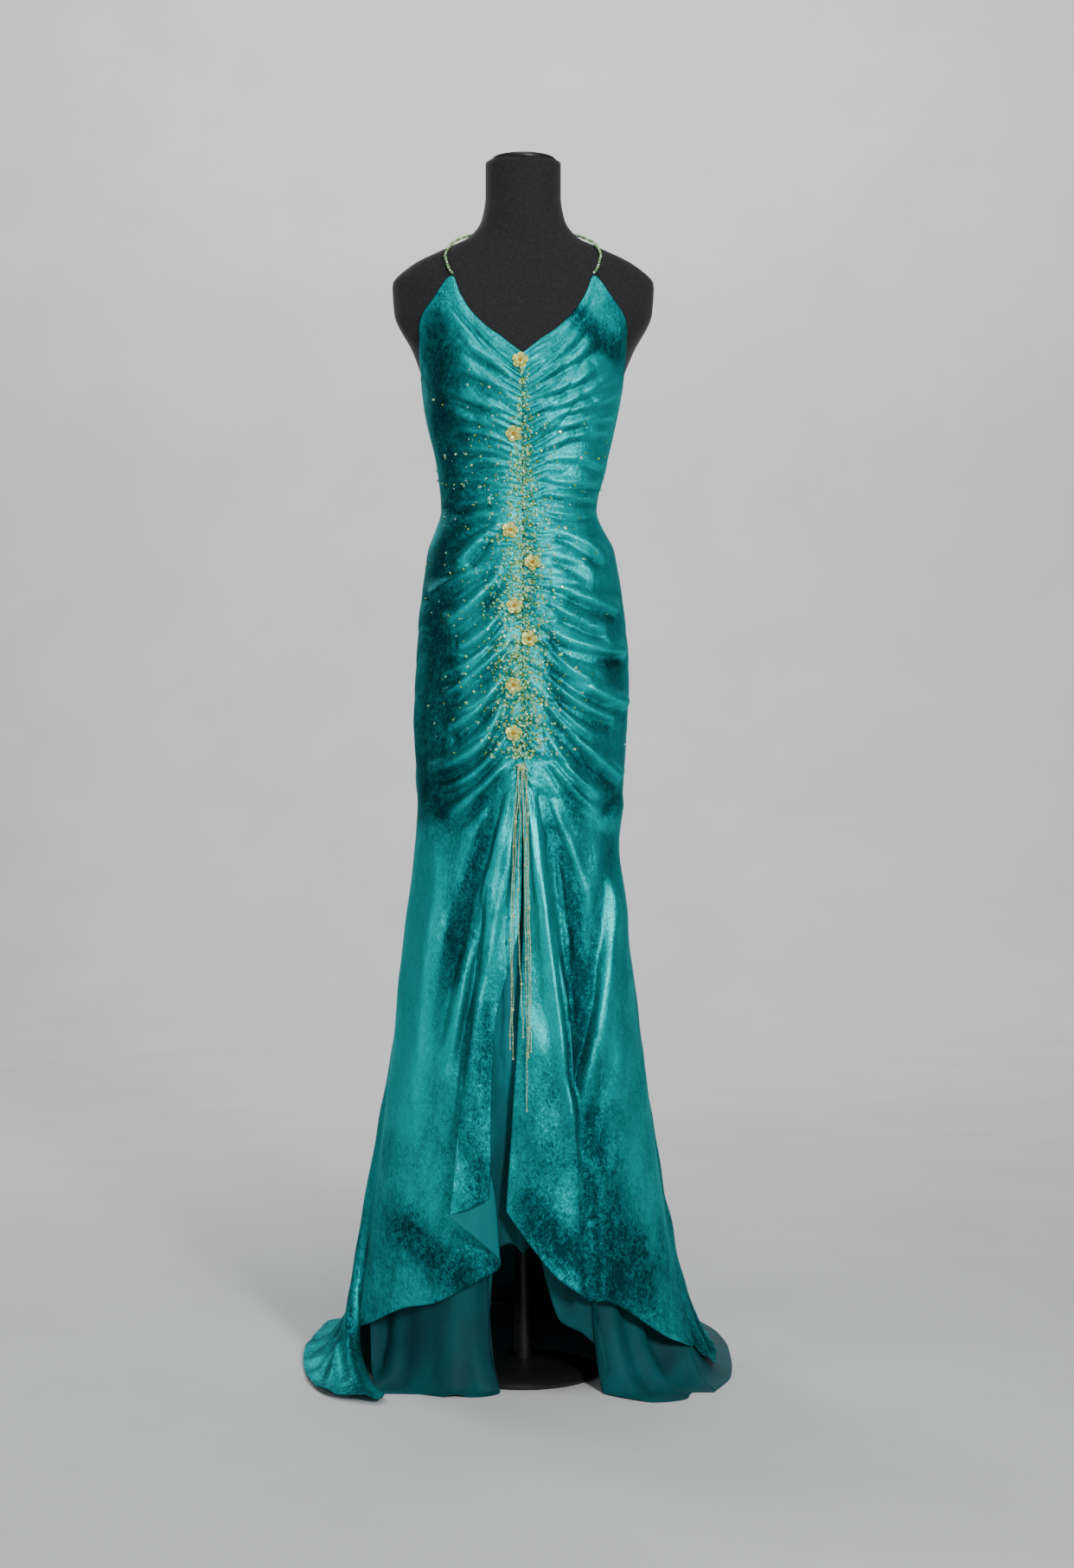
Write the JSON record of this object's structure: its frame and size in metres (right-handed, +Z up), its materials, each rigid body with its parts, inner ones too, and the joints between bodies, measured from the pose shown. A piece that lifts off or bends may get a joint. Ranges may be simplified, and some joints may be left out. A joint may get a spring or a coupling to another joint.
{
  "type": "mermaid prom dress on a dress form",
  "caption": "Floor-length halter dress with a ruched bodice and hips, a flared skirt open at the front, a train and a bead tassel, on a limbless dress form with a round base.",
  "frame": {"origin": "centre of the stand's round underside, on the floor", "axes": "+Z up the form's pole, -Y out of the front of the dress, +X to the right as seen from the front; the train lies toward +Y"},
  "size_m": [0.6344, 0.6941, 1.7543],
  "materials": {
    "velvet": "satin-faced stretch velvet, teal",
    "lining": "matte woven lining, dark teal",
    "form_jersey": "black jersey cover",
    "stand_steel": "satin black paint",
    "gold_flower": "pearly gold",
    "green_beads": "green and clear beads",
    "silver_beads": "silver-gold beads"
  },
  "bodies": {
    "root": {"form_torso": "form_jersey", "form_neck_cap": "stand_steel", "stand_pole": "stand_steel", "stand_base": "stand_steel", "front_left": "velvet", "front_right": "velvet", "back_left": "velvet", "back_right": "velvet", "lining_front_left": "lining", "lining_front_right": "lining", "lining_back_right": "lining", "halter_strand": "green_beads", "bead_tassel": "silver_beads", "flower_1": "gold_flower", "flower_2": "gold_flower", "flower_3": "gold_flower", "flower_4": "gold_flower", "flower_5": "gold_flower", "flower_6": "gold_flower", "flower_7": "gold_flower", "flower_8": "gold_flower"}
  },
  "joints": []
}
